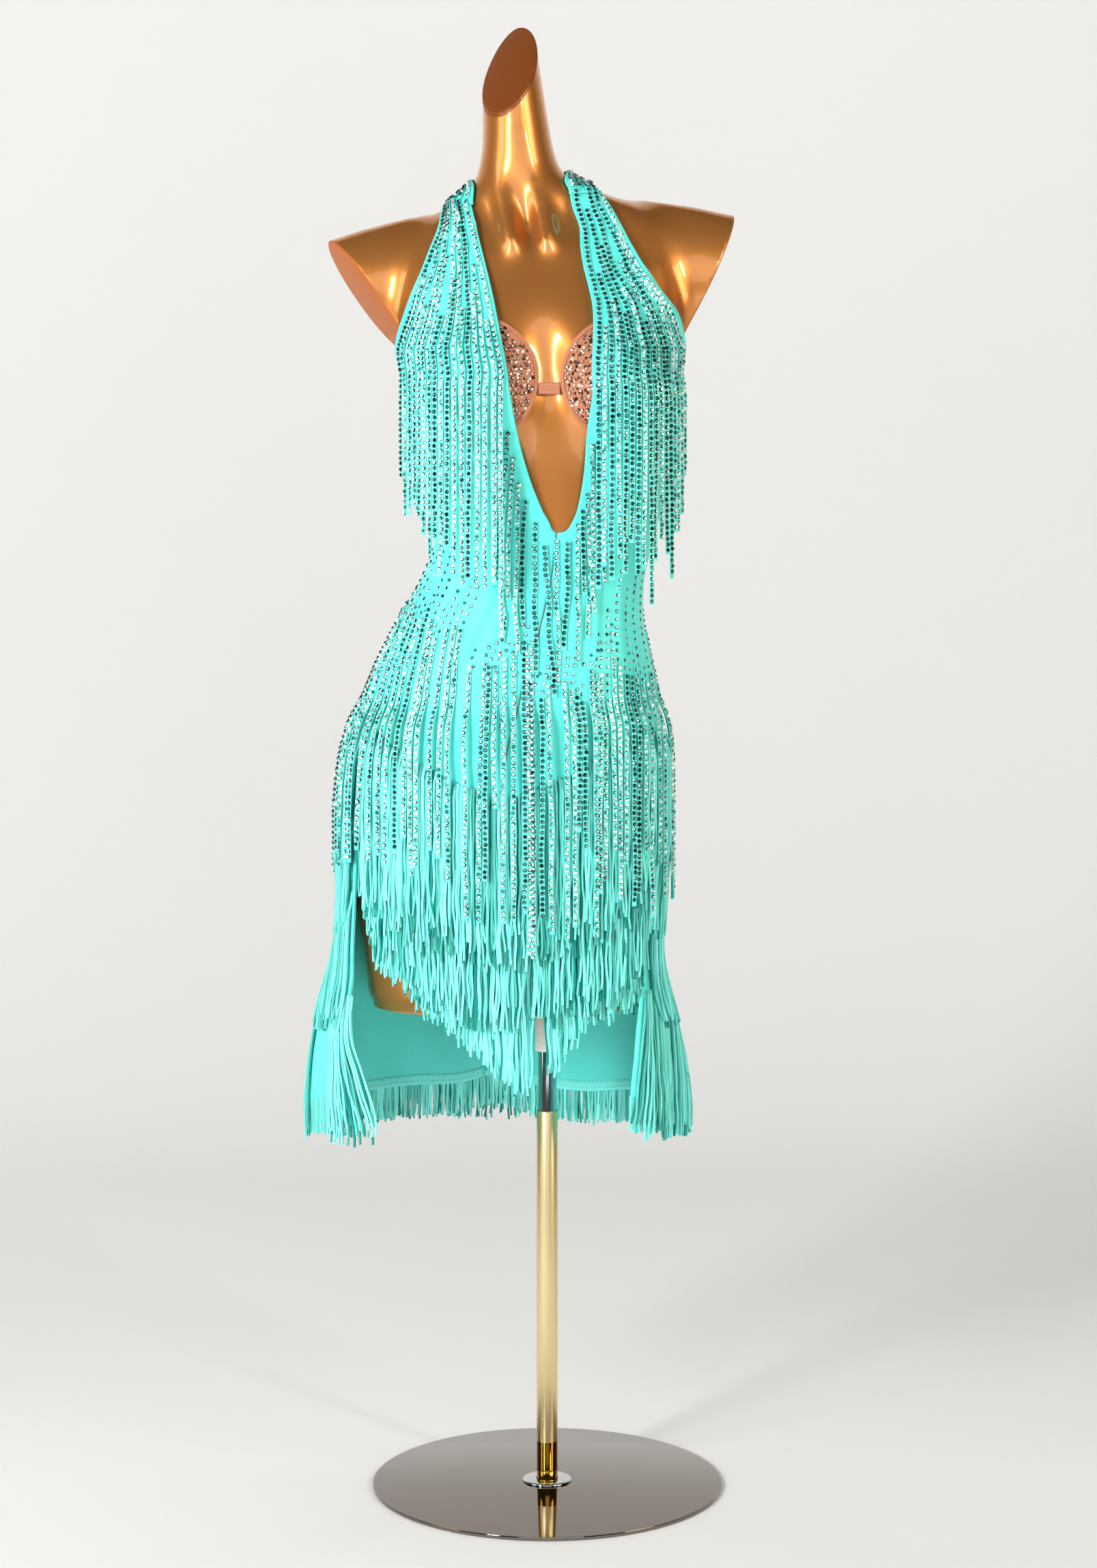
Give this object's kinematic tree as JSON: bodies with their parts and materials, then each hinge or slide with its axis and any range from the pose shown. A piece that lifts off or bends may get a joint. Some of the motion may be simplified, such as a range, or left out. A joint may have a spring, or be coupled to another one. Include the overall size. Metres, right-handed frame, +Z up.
{
  "type": "latin dance dress on a limbless dress form with a pole stand",
  "caption": "Halter-neck dance dress of stoned ribbon strips and cord fringe over a short slit skirt, on a glossy limbless dress form with a telescoping pole and round base.",
  "frame": {"origin": "centre of the base disc's underside", "axes": "+Z up along the pole, -Y the dress's front, +X to the right as seen from the front"},
  "size_m": [0.4449, 0.365, 1.5063],
  "materials": {
    "mirror_disc": "mirror-polished plate",
    "chrome": "polished",
    "brass_tube": "gold-tone plated, glossy",
    "white_collar": "glossy",
    "gold_paint": "metallic gold lacquer on glass fibre, glossy",
    "brown_cap": "matte",
    "turquoise_cloth": "stretch lycra, satin",
    "turquoise_cord": "chainette fringe, soft",
    "stoned_ribbon": "ribbon set with faceted glass stones, sparkling",
    "tan_cloth": "stretch mesh with scattered small stones"
  },
  "bodies": {
    "stand": {"base_disc": "mirror_disc", "base_flange": "chrome", "outer_tube": "brass_tube"},
    "dressed_form": {"back_panel": "turquoise_cloth", "bodice_left": "turquoise_cloth", "bodice_right": "turquoise_cloth", "bra_band": "tan_cloth", "bra_bridge": "tan_cloth", "bra_cup_left": "tan_cloth", "bra_cup_right": "tan_cloth", "form_torso": "gold_paint", "fringe_back_hem": "turquoise_cord", "fringe_back_middle": "turquoise_cord", "fringe_back_upper": "turquoise_cord", "fringe_front_hem": "turquoise_cord", "fringe_front_upper": "turquoise_cord", "inner_tube": "chrome", "neck_band": "turquoise_cloth", "neck_cap": "brown_cap", "skirt_back": "turquoise_cloth", "skirt_front": "turquoise_cloth", "socket_collar": "white_collar", "strips_centre": "stoned_ribbon", "strips_chest_left": "stoned_ribbon", "strips_chest_right": "stoned_ribbon", "strips_hip_back": "stoned_ribbon", "strips_hip_front": "stoned_ribbon", "strips_strap_left": "stoned_ribbon", "strips_strap_right": "stoned_ribbon"}
  },
  "joints": [
    {"name": "mast_slide", "type": "slide", "parent": "stand", "child": "dressed_form", "axis": [0, 0, 1], "range_m": [-0.055, 0.22]}
  ]
}
